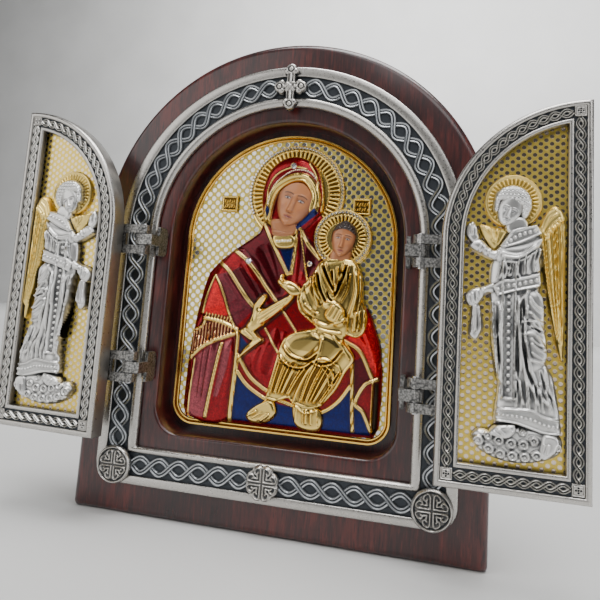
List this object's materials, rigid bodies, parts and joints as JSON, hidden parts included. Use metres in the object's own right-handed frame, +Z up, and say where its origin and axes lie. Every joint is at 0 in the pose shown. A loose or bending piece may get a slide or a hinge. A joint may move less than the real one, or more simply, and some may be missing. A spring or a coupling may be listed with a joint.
{
  "type": "triptych altarpiece",
  "caption": "Small arched desk triptych: a lacquered wooden board with a knotwork border, a gilt enamelled relief icon and hinged half arch wings with angel reliefs.",
  "frame": {"origin": "middle of the board's underside", "axes": "+Z up; -Y out of the decorated front, so +Y out of the plain back; +X to the right seen from the front"},
  "size_m": [0.1555, 0.0403, 0.138],
  "materials": {
    "lacquered_wood": "dark red brown stain under gloss lacquer",
    "aged_silver": "silver plate, dark in the recesses and bright on the rims",
    "dark_silver": "pebbled, darkened silver plate",
    "gold_sheet": "satin gold with a pattern of round dots",
    "gilt_relief": "bright gilding with red and blue enamel",
    "hinge_pin": "plain drawn pin"
  },
  "bodies": {
    "board": {"wooden_board": "lacquered_wood", "frame_band": "aged_silver", "crest_cross": "aged_silver", "medallion_left": "aged_silver", "medallion_right": "aged_silver", "bottom_rosette": "aged_silver", "icon_plate": "gilt_relief", "hinge_left_upper_fixed_leaf": "dark_silver", "hinge_left_upper_pin": "hinge_pin", "hinge_left_lower_fixed_leaf": "dark_silver", "hinge_left_lower_pin": "hinge_pin", "hinge_right_upper_fixed_leaf": "dark_silver", "hinge_right_upper_pin": "hinge_pin", "hinge_right_lower_fixed_leaf": "dark_silver", "hinge_right_lower_pin": "hinge_pin"},
    "left_wing": {"wing_frame_left": "aged_silver", "wing_backplate_left": "gold_sheet", "angel_left": "aged_silver", "hinge_left_upper_wing_leaf": "dark_silver", "hinge_left_lower_wing_leaf": "dark_silver"},
    "right_wing": {"wing_frame_right": "aged_silver", "wing_backplate_right": "gold_sheet", "angel_right": "aged_silver", "hinge_right_upper_wing_leaf": "dark_silver", "hinge_right_lower_wing_leaf": "dark_silver"}
  },
  "joints": [
    {"name": "left_wing_hinge", "type": "hinge", "parent": "board", "child": "left_wing", "pos_m": [-0.03895, -0.02015, 0.0593], "axis": [0, 0, 1], "range_deg": [-16, 184]},
    {"name": "right_wing_hinge", "type": "hinge", "parent": "board", "child": "right_wing", "pos_m": [0.03895, -0.02015, 0.0593], "axis": [0, 0, -1], "range_deg": [-20, 180]}
  ]
}
